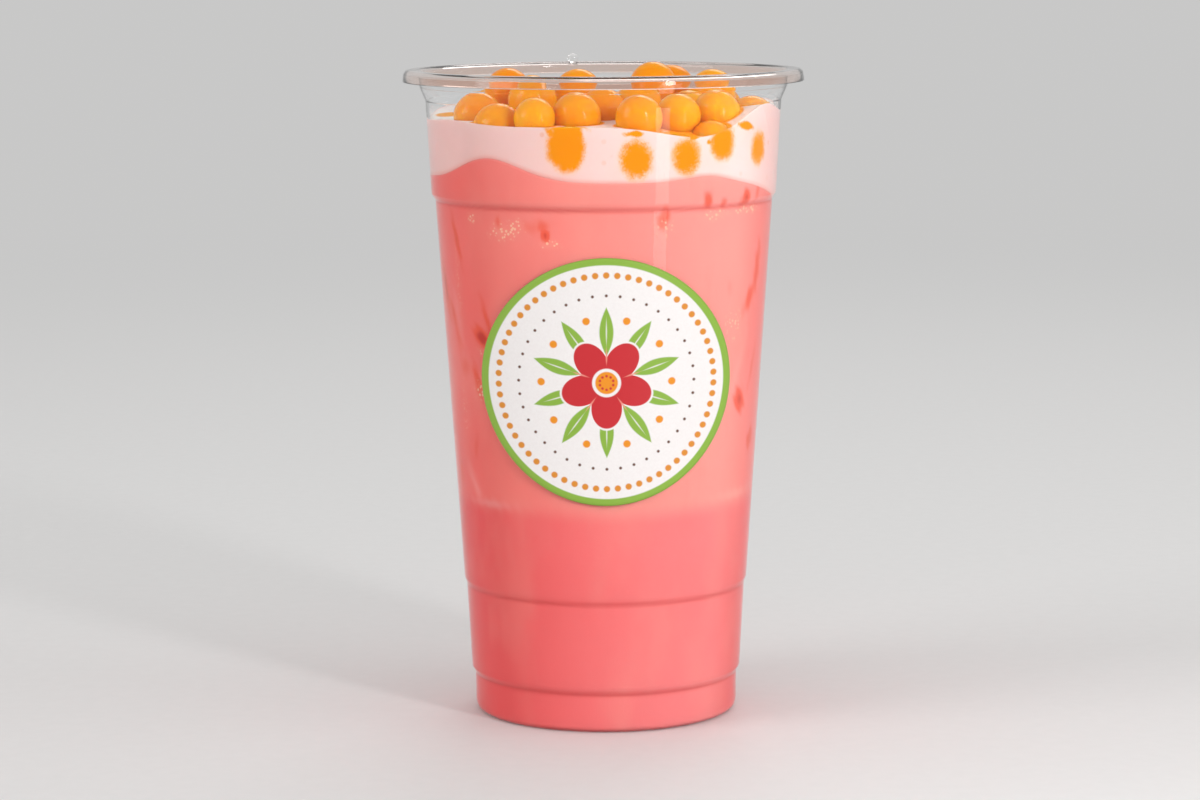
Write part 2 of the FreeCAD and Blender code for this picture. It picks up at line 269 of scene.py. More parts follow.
def ripple(x, y, z, size, seed):
    """A soft random-looking wave between -1 and 1: a mean of sines along five skew directions."""
    total = np.zeros(np.broadcast(x, y, z).shape)
    for k in range(5):
        a, b = 2.4 * k + seed, 1.7 * k + 0.6 * seed
        way = (math.sin(a) * math.cos(b), math.cos(a) * math.cos(b), math.sin(b))
        total += np.sin((x * way[0] + y * way[1] + z * way[2]) * (1 + 0.23 * k) / size + 3 * a)
    return total / 5


def skin(rows, columns, offset=0):
    """The faces of a grid that closes round on itself, with a pole before its first row and after its last.

    A face takes the points at (row, column), (row, next), (next row, next) and (next row, column).
    """
    i, j = np.meshgrid(np.arange(rows - 1), np.arange(columns), indexing="ij")
    k = (j + 1) % columns
    quads = np.stack([i * columns + j, i * columns + k, (i + 1) * columns + k, (i + 1) * columns + j], -1)
    j = np.arange(columns)
    k = (j + 1) % columns
    first, last = rows * columns, rows * columns + 1
    end = (rows - 1) * columns
    start_fan = np.stack([np.full(columns, first), k, j], -1)
    end_fan = np.stack([np.full(columns, last), end + j, end + k], -1)
    return quads.reshape(-1, 4) + offset, np.concatenate([start_fan, end_fan]) + offset


def in_scene(name, data):
    """An object of that name at the origin, linked into the scene."""
    made = bpy.data.objects.new(name, data)
    bpy.context.scene.collection.objects.link(made)
    return made


def make_piece(name, points, quads, triangles, finish, replaced=(), marks=None, flat=None):
    """A smooth piece in metres from points in millimetres.

    marks are its point attributes by name, and flat is its UV map, one place for each point.
    """
    mesh = bpy.data.meshes.new(name)
    corners = np.concatenate([quads.ravel(), triangles.ravel()])
    sizes = np.concatenate([np.full(len(quads), 4), np.full(len(triangles), 3)])
    mesh.vertices.add(len(points))
    mesh.vertices.foreach_set("co", (points * MM).astype(np.float32).ravel())
    mesh.loops.add(len(corners))
    mesh.loops.foreach_set("vertex_index", corners.astype(np.int32))
    mesh.polygons.add(len(sizes))
    mesh.polygons.foreach_set("loop_start", (np.cumsum(sizes) - sizes).astype(np.int32))
    mesh.polygons.foreach_set("use_smooth", np.ones(len(sizes), bool))
    for mark, values in (marks or {}).items():
        made = mesh.attributes.new(mark, "FLOAT", "POINT")
        made.data.foreach_set("value", np.asarray(values, np.float32).ravel())
    if flat is not None:
        layer = mesh.uv_layers.new(name="print")
        layer.data.foreach_set("uv", flat[corners].astype(np.float32).ravel())
    mesh.update(calc_edges=True)
    mesh.validate()
    mesh.materials.append(finish)
    piece = in_scene(name, mesh)
    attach(piece, "root")
    if replaced:
        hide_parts(*replaced)
    return piece


def turned(radius, height, columns):
    """Points of a lathe-turned grid. radius and height are rows x 1 or rows x columns.

    The first and last rows are single points on the axis, so they become the grid's poles.
    """
    angle = np.arange(columns) * (2 * math.pi / columns)
    radius, height = np.broadcast_arrays(radius, height)
    inner_r, inner_h = radius[1:-1], height[1:-1]
    x, y = round_the_cup(inner_r, angle)
    z = np.broadcast_to(inner_h, x.shape)
    grid = np.stack([x, y, z], -1).reshape(-1, 3)
    poles = np.array([[0, 0, height[0].flat[0]], [0, 0, height[-1].flat[0]]])
    return np.concatenate([grid, poles]), len(inner_r)


# ---------------------------------------------------------------- finishes


class Value:
    """A number in a finish. Sums and products of values add Math nodes to it."""

    def __init__(self, finish, socket):
        self.finish, self.socket = finish, socket

    def math(self, operation, *values):
        """A Math node on values, in the order of its sockets."""
        return self.finish.node("Math", {"operation": operation}, dict(enumerate(values)))

    def __add__(self, other):
        return self.math("ADD", self, other)

    __radd__ = __add__

    def __sub__(self, other):
        return self.math("SUBTRACT", self, other)

    def __rsub__(self, other):
        return self.math("SUBTRACT", other, self)

    def __mul__(self, other):
        return self.math("MULTIPLY", self, other)

    __rmul__ = __mul__

    def __truediv__(self, other):
        return self.math("DIVIDE", self, other)

    def __pow__(self, other):
        return self.math("POWER", self, other)

    def at_least(self, other):
        return self.math("MAXIMUM", self, other)

    def at_most(self, other):
        return self.math("MINIMUM", self, other)

    def size(self):
        return self.math("ABSOLUTE", self)

    def sine(self):
        return self.math("SINE", self)

    def cosine(self):
        return self.math("COSINE", self)

    def part(self):
        return self.math("FRACT", self)

    def rise(self, low, high):
        """0 below low, 1 above high, and a smooth step between them."""
        settings = {"interpolation_type": "SMOOTHSTEP", "clamp": True}
        return self.finish.node("MapRange", settings, {0: self, 1: low, 2: high, 3: 0.0, 4: 1.0})


class Finish:
    """A material, or another node tree, that is written as expressions."""

    def __init__(self, name=None, tree=None):
        if name:
            self.material = bpy.data.materials.new(name)
            self.material.use_nodes = True
            tree = self.material.node_tree
        self.tree = tree
        tree.nodes.clear()

    def node(self, kind, settings=None, inputs=None, output=0):
        """One node: its settings first, then its sockets' values or links.

        It gives one output as a Value, or the node itself where it has none.
        """
        made = self.tree.nodes.new("ShaderNode" + kind)
        for key, value in (settings or {}).items():
            setattr(made, key, value)
        for key, value in (inputs or {}).items():
            socket = made.inputs[key]
            if isinstance(value, Value):
                self.tree.links.new(value.socket, socket)
            elif isinstance(value, tuple) and len(value) == 3 and socket.type == "RGBA":
                socket.default_value = (*value, 1)
            else:
                socket.default_value = value
        return Value(self, made.outputs[output]) if len(made.outputs) else made

    def place(self):
        """Object coordinates, in metres."""
        return self.node("TexCoord", output="Object")

    def split(self, vector):
        """The three parts of a vector."""
        made = self.node("SeparateXYZ", inputs={0: vector}).socket.node
        return [Value(self, socket) for socket in made.outputs]

    def mark(self, name):
        """A point attribute of the piece."""
        return self.node("Attribute", {"attribute_name": name}, output="Fac")

    def noise(self, vector, size, detail=2.0, roughness=0.5, stretch=None):
        """Cloudy noise from 0 to 1, its lumps about size metres across."""
        if stretch:
            vector = self.node("Mapping", inputs={"Vector": vector, "Scale": stretch})
        inputs = {"Vector": vector, "Scale": 1 / size, "Detail": detail, "Roughness": roughness}
        return self.node("TexNoise", inputs=inputs)

    def cells(self, vector, size):
        """The distance to the nearest of scattered points, in steps of size metres, their usual spacing."""
        return self.node("TexVoronoi", {"feature": "F1"}, {"Vector": vector, "Scale": 1 / size})

    def mix(self, factor, a, b):
        """Colour a where factor is 0 and colour b where it is 1."""
        settings = {"data_type": "RGBA", "clamp_factor": True}
        return self.node("Mix", settings, {0: factor, 6: a, 7: b}, output=2)

    def bump(self, height, depth, strength=1.0):
        """A normal for a height from 0 to 1 that stands depth metres tall."""
        return self.node("Bump", inputs={"Height": height, "Distance": depth, "Strength": strength})

    def shader(self, **inputs):
        """A Principled shader. Its sockets are named with underscores for spaces."""
        named = {key.replace("_", " "): value for key, value in inputs.items()}
        return self.node("BsdfPrincipled", inputs=named)

    def open_to_lamps(self, lens, clear):
        """The lens, with its clear stand-in for shadow rays, so that lamps shine through it."""
        shade = self.node("LightPath", output="Is Shadow Ray")
        return self.node("MixShader", inputs={0: shade, 1: lens, 2: clear})

    def out(self, shader, kind="OutputMaterial"):
        """Ends the tree with a shader, and gives the material if there is one."""
        self.node(kind, inputs={"Surface": shader})
        return getattr(self, "material", None)


def clear_plastic():
    """Clear moulded cup plastic: it bends what is behind it, and its rim carries a painted warm reflection
    of the drink.
    """
    f = Finish("clear_cup_plastic")
    where = f.place()
    waviness = f.noise(where, 0.022, 2.0, 0.4, stretch=(1, 1, 0.25))
    scuffs = f.noise(where, 0.004, 3.0, 0.6)
    _, _, z = f.split(where)
    skirt = RIM_TOP - SKIRT_DROP
    # painted reflection: the rim and its skirt are tinted warm, standing in for the drink seen in them
    rim = z.rise((skirt - 0.6) * MM, (skirt + 0.4) * MM)
    lens = f.shader(
        Base_Color=f.mix(rim, (0.975, 0.98, 0.985), (0.95, 0.86, 0.82)),
        Roughness=0.02 + scuffs.rise(0.5, 0.8) * 0.03,
        IOR=1.46,
        Specular_Tint=(0.4, 0.4, 0.4, 1),
        Transmission_Weight=1.0,
        Normal=f.bump(waviness, 0.0004, 0.35),
    )
    clear = f.node("BsdfTransparent", inputs={"Color": (0.97, 0.975, 0.98)})
    return f.out(f.open_to_lamps(lens, clear))


def water_drop():
    """A drop of clear water."""
    f = Finish("clear_drop")
    swirl = f.noise(f.place(), 0.002, 1.0)
    lens = f.shader(
        Base_Color=(0.98, 0.98, 0.98),
        Roughness=0.01 + swirl * 0.02,
        IOR=1.33,
        Transmission_Weight=1.0,
    )
    return f.out(f.open_to_lamps(lens, f.node("BsdfTransparent")))


def strawberry_tea():
    """Milky strawberry tea: paler among the ice and deeper below it.

    Crushed berry, froth and rims of ice show at the wall, and a painted dark shade line at each of its
    ledges.
    """
    f = Finish("strawberry_milk_tea")
    where = f.place()
    cloud = f.noise(where, 0.016, 3.0, 0.55, stretch=(1, 1, 0.5))
    streaks = f.noise(where, 0.005, 3.0, 0.6, stretch=(1, 1, 0.22))
    grain = f.noise(where, 0.0007, 2.0, 0.6)
    milk_and_light = f.mark("milk_and_light")
    iced = f.mark("iced")
    # milk_and_light: partly the tea's own milkiness, mostly painted light, paler to the right of the front
    # and painted shade at the left
    upper = f.mix(milk_and_light, (0.92, 0.115, 0.098), (0.97, 0.385, 0.340))
    lower = f.mix(milk_and_light, (0.87, 0.050, 0.050), (0.94, 0.265, 0.265))
    tea = f.mix(iced + (cloud - 0.5) * 0.35, lower, upper)
    tea = f.mix(cloud.rise(0.45, 0.75) * 0.16, tea, (0.95, 0.45, 0.36))
    tea = f.mix(streaks.rise(0.52, 0.8) * iced * 0.12, tea, (0.84, 0.17, 0.13))
    berry = f.mark("berry") * (0.72 + streaks * 0.6)
    tea = f.mix(berry.rise(0.05, 0.6) * 0.75, tea, (0.88, 0.100, 0.035))
    tea = f.mix((berry - 0.62).rise(0.0, 0.5) * 0.75, tea, (0.56, 0.014, 0.012))
    froth = f.mark("froth")
    bubbles = f.cells(where, 0.0009).rise(0.5, 0.15)
    tea = f.mix((froth * bubbles).rise(0.08, 0.5) * 0.85, tea, (0.97, 0.66, 0.44))
    tea = f.mix(froth * 0.18, tea, (0.96, 0.50, 0.36))
    tea = f.mix(f.mark("veil") * (0.5 + cloud), tea, (0.96, 0.56, 0.50))
    tea = f.mix(f.mark("rim") * (0.1 + cloud * 0.4), tea, (0.96, 0.60, 0.54))
    # painted shade: a dark line in the tea at each of the wall's ledges
    tea = f.mix(f.mark("ledge_shade") * 0.55, tea, (0.66, 0.070, 0.065))
    tea = f.mix(grain.rise(0.66, 0.8) * 0.10, tea, (0.97, 0.58, 0.50))
    return f.out(
        f.shader(
            Base_Color=tea,
            Roughness=0.36 + cloud * 0.12,
            IOR=1.34,
            Specular_IOR_Level=0.08,
            Normal=f.bump(streaks, 0.0003, 0.25),
        )
    )


def milk_foam():
    """Pale pink milk foam with fine bubbles, stained orange where pearls press into it."""
    f = Finish("pink_milk_foam")
    where = f.place()
    cloud = f.noise(where, 0.009, 3.0, 0.55)
    fine = f.noise(where, 0.0009, 3.0, 0.65)
    pits = f.cells(where, 0.0011)
    milk_and_light = f.mark("milk_and_light")
    # painted light on the foam's side: paler where the lamps fall, deeper as painted shade at the left
    foam = f.mix(milk_and_light * milk_and_light, (0.94, 0.61, 0.575), (0.96, 0.79, 0.755))
    foam = f.mix(cloud.rise(0.42, 0.7) * 0.22, foam, (0.95, 0.70, 0.62))
    # the top's own cream colour with painted shade: darker towards the right of the front, lighter at the
    # left
    cream_and_shade = f.mix(milk_and_light, (0.98, 0.90, 0.87), (0.87, 0.62, 0.53))
    foam = f.mix(f.mark("top"), foam, cream_and_shade)
    foam = f.mix(f.mark("low") * (0.35 + cloud), foam, (0.95, 0.47, 0.41))
    foam = f.mix(fine.rise(0.6, 0.78) * 0.14, foam, (0.98, 0.91, 0.87))
    foam = f.mix(fine.rise(0.4, 0.28) * 0.10, foam, (0.88, 0.56, 0.48))
    ragged = f.noise(where, 0.0024, 3.0, 0.6)
    speck = f.noise(where, 0.0004, 2.0, 0.6)
    stain = f.mark("stain") + (ragged - 0.5) * 0.34
    foam = f.mix(stain.rise(0.28, 0.54) * 0.5, foam, (0.95, 0.60, 0.30))
    foam = f.mix((stain + (speck - 0.5) * 0.34).rise(0.35, 0.64), foam, (0.95, 0.345, 0.003))
    specks = f.cells(where, 0.0048).rise(0.16, 0.07) * f.mark("specks")
    foam = f.mix(specks * 0.55, foam, (0.86, 0.36, 0.14))
    relief = (pits.rise(0.5, 0.1) * 0.6 + fine) * (0.06 + f.mark("top") * 0.94)
    return f.out(
        f.shader(
            Base_Color=foam,
            Roughness=0.55 + fine * 0.2,
            IOR=1.34,
            Specular_IOR_Level=0.08,
            Subsurface_Weight=0.25,
            Subsurface_Radius=(1.0, 0.6, 0.5),
            Subsurface_Scale=0.0015,
            Normal=f.bump(relief, 0.0003, 0.5),
        )
    )


def pearl_skin():
    """Popping pearls: a glossy thin orange skin round juice, each of its own tone, with a glowing side."""
    f = Finish("orange_popping_pearl")
    where = f.place()
    cloud = f.noise(where, 0.006, 2.0, 0.5)
    fine = f.noise(where, 0.0012, 3.0, 0.6)
    tone = f.mark("tone")
    juice = f.mix(tone + (cloud - 0.5) * 0.9, (0.95, 0.305, 0.001), (0.96, 0.385, 0.002))
    juice = f.mix(f.mark("lit") * 0.6, juice, (0.98, 0.44, 0.004))
    juice = f.mix(fine.rise(0.62, 0.8) * 0.12, juice, (0.97, 0.50, 0.04))
    return f.out(
        f.shader(
            Base_Color=juice,
            Roughness=0.03 + fine * 0.04,
            IOR=1.33,
            Subsurface_Weight=0.75,
            Subsurface_Radius=(1.0, 0.42, 0.03),
            Subsurface_Scale=0.006,
            Normal=f.bump(cloud + fine * 0.01, 0.0006, 0.25),
        )
    )


def label_print():
    """A round printed label: green border, rings of dots, and a five-petal flower with ten leaves.

    Rings, radii and widths are shares of the label's radius, and a phase is a share of a step.
    """
    green = (0.270, 0.462, 0.062)
    red = (0.60, 0.030, 0.038)
    orange = (0.86, 0.300, 0.020)
    f = Finish("printed_label")
    u, v, _ = f.split(f.node("TexCoord", output="UV"))
    x, y = u * 2 - 1, v * 2 - 1
    reach = (x * x + y * y) ** 0.5
    turn = y.math("ARCTAN2", y, x)
    soft = 0.006

    def to_middle(count, phase):
        """The turn to the middle of one of count equal steps round, in radians."""
        step = 2 * math.pi / count
        return ((turn * (1 / step) + phase + count).part() - 0.5) * step

    def dots(count, ring, radius, phase=0.0):
        """Dots of one radius round a ring: a place's distance from the nearest is sqrt(along^2 + away^2)."""
        along = to_middle(count, phase) * ring
        away = reach - ring
        return ((along * along + away * away) ** 0.5).rise(radius + soft, radius - soft)

    def leaves(count, inner, outer, width, phase=0.0):
        """Pointed leaves between two rings: their half width is width * sin(pi * share of the way out)."""
        share = ((reach - inner) / (outer - inner)).at_least(0).at_most(1)
        body = (share * math.pi).sine() * width - (to_middle(count, phase) * reach).size()
        return body.rise(0.0, 2 * soft)

    grain = f.noise(f.place(), 0.0006, 2.0)
    sheet = f.mix(grain.rise(0.3, 0.7), (0.885, 0.845, 0.835), (0.905, 0.87, 0.86))
    paint = f.mix(reach.rise(0.943 - soft, 0.943 + soft), sheet, green)
    paint = f.mix(dots(62, 0.862, 0.0255), paint, (0.74, 0.275, 0.035))
    paint = f.mix(leaves(10, 0.20, 0.62, 0.062), paint, green)
    paint = f.mix(leaves(10, 0.26, 0.56, 0.010), paint, sheet)
    # The petals' outline is a rose curve: 0.20 + 0.17 |cos(2.5 turn + pi / 4)| from the middle.
    petal = reach - 0.20 - (turn * 2.5 + math.pi / 4).cosine().size() * 0.17
    paint = f.mix(petal.rise(0.022, 0.022 - 2 * soft), paint, sheet)
    paint = f.mix(petal.rise(soft, -soft), paint, red)
    paint = f.mix(leaves(5, 0.12, 0.31, 0.012, 0.25), paint, (0.86, 0.30, 0.24))
    paint = f.mix(reach.rise(0.115 + soft, 0.115 - soft), paint, sheet)
    paint = f.mix(reach.rise(0.090 + soft, 0.090 - soft), paint, orange)
    paint = f.mix(dots(10, 0.055, 0.010), paint, red)
    paint = f.mix(dots(10, 0.52, 0.030, 0.5), paint, orange)
    paint = f.mix(dots(40, 0.70, 0.0115, 0.5), paint, (0.130, 0.050, 0.028))
    return f.out(
        f.shader(
            Base_Color=paint,
            Roughness=0.42 + grain * 0.1,
            IOR=1.45,
            Specular_IOR_Level=0.3,
            Normal=f.bump(grain, 0.00004, 0.4),
        )
    )


# ---------------------------------------------------------------- pieces


def make_cup_wall(columns=256):
    """The cup's closed shell, turned from its section: radius and height along one rounded line.

    The line runs out under the base, up the outside, over the rim and its skirt, and down the inside to
    the middle of the floor.
    """
    under_rim = RIM_TOP - WALL
    neck = RINGS[-1][0]
    corners = [
        (0, BASE_LIFT, 0),
        (FOOT - FOOT_RING - BASE_SLOPE, BASE_LIFT, 0.6),
        (FOOT - FOOT_RING, 0, 0.3),
        (FOOT, 0, 2.4),
        *RINGS,
        (neck, under_rim, 0.6),
        (RIM_RADIUS - SKIRT_LEAN - WALL, under_rim, 0.8),
        (RIM_RADIUS - WALL, RIM_TOP - SKIRT_DROP, 0.2),
        (RIM_RADIUS, RIM_TOP - SKIRT_DROP, 0.2),
        (RIM_RADIUS - SKIRT_LEAN, RIM_TOP, 1.4),
        (neck - WALL, RIM_TOP, 1.4),
        *[(r - WALL, z, bend) for r, z, bend in reversed(RINGS)],
        (FOOT - WALL, WALL, 1.7),
        (FOOT - FOOT_RING + WALL, WALL, 0.3),
        (FOOT - FOOT_RING - BASE_SLOPE + WALL, BASE_LIFT + WALL, 0.6),
        (0, BASE_LIFT + WALL, 0),
    ]
    section = rounded(corners, 7)
    points, rows = turned(section[:, :1], section[:, 1:], columns)
    quads, fans = skin(rows, columns)
    return make_piece("cup_wall", points, quads, fans, clear_plastic(), ["cup"])


def blots(marks, angle, height):
    """How strongly each point is marked: the highest over the marks of strength * exp(-distance / 2).

    distance is (across / width)^2 + (up / tall)^2, where a mark leans by lean per unit up, and it wavers
    by a third over a few millimetres, so that no mark is a plain oval.
    """
    total = np.zeros(np.shape(height))
    for where, middle, width, tall, lean, strength in marks:
        turn = (np.degrees(angle) - where + 180) % 360 - 180
        up = height - middle
        across = np.radians(turn) * inner_radius(height) - lean * up
        wobble = 1 + 0.35 * np.sin(1.9 * across + 1.3 * up + where)
        spot = np.exp(-0.5 * ((across / width) ** 2 + (up / tall) ** 2) * wobble)
        total = np.maximum(total, strength * spot)
    return total


def smooth_step(value, low, high):
    """0 below low, 1 above high, 3t^2 - 2t^3 between."""
    t = np.clip((value - low) / (high - low), 0, 1)
    return t * t * (3 - 2 * t)


def milk_and_light_by_angle(angle):
    """Milk and painted light, about 0 to 1: partly the drink's own milkiness, mostly painted light that is
    palest towards the right of the front where the lamps fall and deepest at the left as painted shade.

    It is (1 + cos(angle - 58 degrees)) / 2, less up to four fifths of that round the right side as painted
    shade at that edge, and a little more round the back as painted light there.
    """
    turn = np.degrees(angle)
    # painted shade round the right edge of the drink
    right_edge_shade = smooth_step(turn, 46, 86) * (1 - smooth_step(turn, 120, 178))
    milk_and_light = (0.5 + 0.5 * np.cos(angle - math.radians(58))) * (1 - 0.8 * right_edge_shade)
    return milk_and_light + 0.22 * smooth_step(np.abs(turn), 85, 140)


def make_tea_body(columns=360, side_rows=190, top_rows=34):
    """The tea, turned from the cup's floor up its inside and in along the wavy top to the axis.

    A side row's height is a share of the way from the floor's bend to the brim, and its radius is the
    wall's inside there and a little more.
    """
    low = 3.2
    floor = rounded(
        [
            (0, BASE_LIFT + WALL - SEATED, 0),
            (FOOT - FOOT_RING - BASE_SLOPE + WALL, BASE_LIFT + WALL - SEATED, 0.6),
            (FOOT - FOOT_RING + WALL, WALL - SEATED, 0.3),
            (FOOT - WALL + SEATED, WALL - SEATED, 1.8),
            (inner_radius(low) + SEATED, low, 0),
        ]
    )
    angle = np.arange(columns) * (2 * math.pi / columns)
    brim_x, brim_y = round_the_cup(inner_radius(TEA_TOP), angle)
    brim = level(TEA_TOP, TEA_SWELLS, brim_x, brim_y)
    share = np.linspace(0, 1, side_rows)[1:, None]
    side_z = low + share * (brim - low)
    side_r = inner_radius(side_z) + SEATED
    inward = np.linspace(1, 0, top_rows)[1:, None]
    top_r = inward * side_r[-1]
    top_x, top_y = round_the_cup(top_r, angle)
    top_z = level(TEA_TOP, TEA_SWELLS, top_x, top_y)
    wide = np.ones(columns)
    radius = np.concatenate([floor[:, :1] * wide, side_r, top_r])
    height = np.concatenate([floor[:, 1:] * wide, side_z, top_z])
    points, rows = turned(radius, height, columns)
    quads, fans = skin(rows, columns)
    around = np.arctan2(points[:, 0], -points[:, 1])
    z = points[:, 2]
    drift = ripple(points[:, 0], points[:, 1], z, 9, 2.0)
    edge = level(TEA_TOP, TEA_SWELLS, *round_the_cup(inner_radius(TEA_TOP), around))
    marks = {
        "milk_and_light": np.clip(milk_and_light_by_angle(around) + 0.08 * drift, 0, 1),
        "iced": smooth_step(z + 1.5 * drift, ICE_FLOOR - ICE_FADE, ICE_FLOOR + ICE_FADE),
        "rim": blots(ICE_RIMS, around, z),
        "ledge_shade": np.exp(-(((z[:, None] - LEDGES) / LEDGE_SHADE_SPREAD) ** 2)).max(1),
        "berry": blots(BERRY_MARKS, around, z),
        "froth": blots(FROTH_MARKS, around, z),
        "veil": 0.22 * smooth_step(z - edge, -0.6, 0.0),
    }
    return make_piece("tea_body", points, quads, fans, strawberry_tea(), ["milk_tea"], marks)


def pearl_balls():
    """Each pearl's middle and radius from its CAD box.

    The wall cuts some balls on their outer side only, so the middle is one radius in from the box's sides
    that face the axis. Soft pearls press on each other and on the wall: a ball swells by a twenty-fifth,
    or until it presses on a wall that is within a millimetre, and stays under the top of the CAD box.
    """
    boxes = np.array([[list(corner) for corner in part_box(name)] for name in PEARLS]) / MM
    low, high = boxes[:, 0], boxes[:, 1]
    radius = (high[:, 2] - low[:, 2]) / 2
    middle = (low + high) / 2
    outward = middle[:, :2] > 0
    middle[:, :2] = np.where(outward, low[:, :2] + radius[:, None], high[:, :2] - radius[:, None])
    to_wall = inner_radius(middle[:, 2]) - np.hypot(middle[:, 0], middle[:, 1]) - radius
    drawn = (to_wall > 0) & (to_wall < WALL_DRAW)
    swollen = np.where(drawn, radius + to_wall + WALL_PRESS, radius * SWELL)
    swollen = np.minimum(swollen, radius * MOST_SWELL)
    return middle, np.minimum(swollen, CAD_BOX[1].z / MM - middle[:, 2])


def make_foam_layer(middles, radii, columns=360, side_rows=44, top_rows=90):
    """The foam, turned from the axis out over the tea's top, up the wall and in along its own wavy top.

    The top drops by 1 - exp(-distance from the wall / 0.6) of edge_drop, so that a thin curve climbs the
    wall, and a small ripple grows on it further in.
    """
    edge_drop, ripple_height = 0.35, 0.22
    angle = np.arange(columns) * (2 * math.pi / columns)
    brim_x, brim_y = round_the_cup(inner_radius(FOAM_TOP), angle)
    brim = level(FOAM_TOP, FOAM_SWELLS, brim_x, brim_y)
    foot = level(TEA_TOP, TEA_SWELLS, brim_x, brim_y) - FOAM_LAP
    outward = np.concatenate([np.linspace(0, 0.99, 12), [0.999]])[:, None]
    under_r = outward * (inner_radius(foot) + FOAM_SEATED)
    under_z = level(TEA_TOP, TEA_SWELLS, *round_the_cup(under_r, angle)) - FOAM_LAP
    share = np.concatenate([[0], np.linspace(0.006, 0.994, side_rows), [1]])[:, None]
    side_z = foot + share * (brim - foot)
    side_r = inner_radius(side_z) + FOAM_SEATED
    inward = np.linspace(0.999, 0, top_rows)[:, None]
    top_r = side_r[-1] * inward
    top_x, top_y = round_the_cup(top_r, angle)
    to_wall = side_r[-1] - top_r
    top_z = level(FOAM_TOP, FOAM_SWELLS, top_x, top_y) - edge_drop * (1 - np.exp(-to_wall / 0.6))
    top_z = top_z + ripple_height * ripple(top_x, top_y, 0, 2.1, 5.0) * (1 - np.exp(-to_wall / 3))
    radius = np.concatenate([under_r, side_r, top_r])
    height = np.concatenate([under_z, side_z, top_z])
    points, rows = turned(radius, height, columns)
    quads, fans = skin(rows, columns)
    around = np.arctan2(points[:, 0], -points[:, 1])
    z = points[:, 2]
    away = points[:, None] - middles
    away[..., 2] *= 0.8
    apart = np.linalg.norm(away, axis=2)
    gap = (apart - radii).min(1)
    wall_gap = (apart[:, :PRESSED] - radii[:PRESSED] / SWELL).min(1)
    at_wall = np.hypot(points[:, 0], points[:, 1]) > inner_radius(z) + FOAM_SEATED - 0.05
    under = level(TEA_TOP, TEA_SWELLS, *round_the_cup(inner_radius(TEA_TOP), around))
    drips = np.maximum(0.65 - wall_gap / 4, 0.85 * blots(FOAM_STAINS, around, z))
    pools = np.exp(-np.maximum(gap, 0) / 0.9)
    marks = {
        "milk_and_light": milk_and_light_by_angle(around),
        "top": np.where(at_wall, 0.0, 1.0),
        "low": smooth_step(z - under, 1.0, -0.2) * at_wall,
        "stain": np.where(at_wall, drips, pools),
        "specks": np.exp(-np.maximum(wall_gap - 1, 0) / 2.5) * at_wall,
    }
    return make_piece("foam_layer", points, quads, fans, milk_foam(), ["milk_foam"], marks)


def make_popping_pearls(middles, radii, rows=31, columns=46):
    """All the pearls: each point is a ball's middle plus its radius, which wavers by about a hundredth.

    Where a ball would pass into the wall it is pressed flat against it: its distance from the axis stops
    at the wall's inside.
    """
    count = len(radii)
    tilt = np.linspace(0, math.pi, rows + 2)[1:-1]
    turn = np.arange(columns) * (2 * math.pi / columns)
    ways = np.stack(
        [
            np.sin(tilt)[:, None] * np.sin(turn),
            -np.sin(tilt)[:, None] * np.cos(turn),
            -np.cos(tilt)[:, None] * np.ones(columns),
        ],
        -1,
    ).reshape(-1, 3)
    ways = np.concatenate([ways, [[0, 0, -1], [0, 0, 1]]])
    number = np.arange(count)[:, None]
    waver = 0.006 * np.sin(3 * ways[:, 0] + 1.7 * number) + 0.006 * np.sin(4 * ways[:, 2] + 2.3 * number)
    waver = waver + 0.004 * np.sin(5 * ways[:, 1] + 3.1 * number)
    points = middles[:, None] + ways * (radii[:, None] * (0.998 + waver))[..., None]
    reach = np.hypot(points[..., 0], points[..., 1])
    stop = inner_radius(points[..., 2]) + PEARL_SEATED
    points[..., :2] *= np.minimum(1, stop / reach)[..., None]
    per = rows * columns + 2
    parts = [skin(rows, columns, k * per) for k in range(count)]
    quads = np.concatenate([quad for quad, _ in parts])
    fans = np.concatenate([fan for _, fan in parts])
    points[..., 2] = np.minimum(points[..., 2], CAD_BOX[1].z / MM)
    glow = ways @ np.array(GLOW_SIDE)
    marks = {
        "tone": np.repeat(0.5 + 0.5 * np.sin(7.3 * number + 1.1), per, axis=1),
        "lit": np.broadcast_to(smooth_step(glow, 0.1, 0.95), (count, per)),
    }
    flat_points = points.reshape(-1, 3)
    return make_piece("popping_pearls", flat_points, quads, fans, pearl_skin(), PEARLS, marks)


def make_label_sticker(rows=40, columns=192):
    """A disc seen square on from the front and laid on the cone of the wall.

    At (x, z) across the disc its depth is -sqrt(r(z)^2 - x^2), with its face a label's thickness out.
    """
    share = np.linspace(0, 1, rows + 1)[1:]
    edge = np.concatenate([share, share[::-1]])[:, None]
    turn = np.arange(columns) * (2 * math.pi / columns)
    x = LABEL_RADIUS * edge * np.cos(turn)
    z = LABEL_HEIGHT - LABEL_RADIUS * edge * np.sin(turn)
    out = np.concatenate([np.full(rows, LABEL_THICK), np.full(rows, LABEL_BACK)])[:, None]
    ends = np.array([[0, LABEL_HEIGHT, LABEL_THICK], [0, LABEL_HEIGHT, LABEL_BACK]])
    x = np.concatenate([x.ravel(), ends[:, 0]])
    z = np.concatenate([z.ravel(), ends[:, 1]])
    out = np.concatenate([np.broadcast_to(out, (2 * rows, columns)).ravel(), ends[:, 2]])
    y = -np.sqrt((outer_radius(z) + out) ** 2 - x * x)
    c, s = math.cos(math.radians(LABEL_TURN)), math.sin(math.radians(LABEL_TURN))
    points = np.stack([x * c - y * s, x * s + y * c, z], -1)
    flat = np.stack([x, z - LABEL_HEIGHT], -1) / (2 * LABEL_RADIUS) + 0.5
    quads, fans = skin(2 * rows, columns)
    return make_piece("label_sticker", points, quads, fans, label_print(), ["label"], flat=flat)


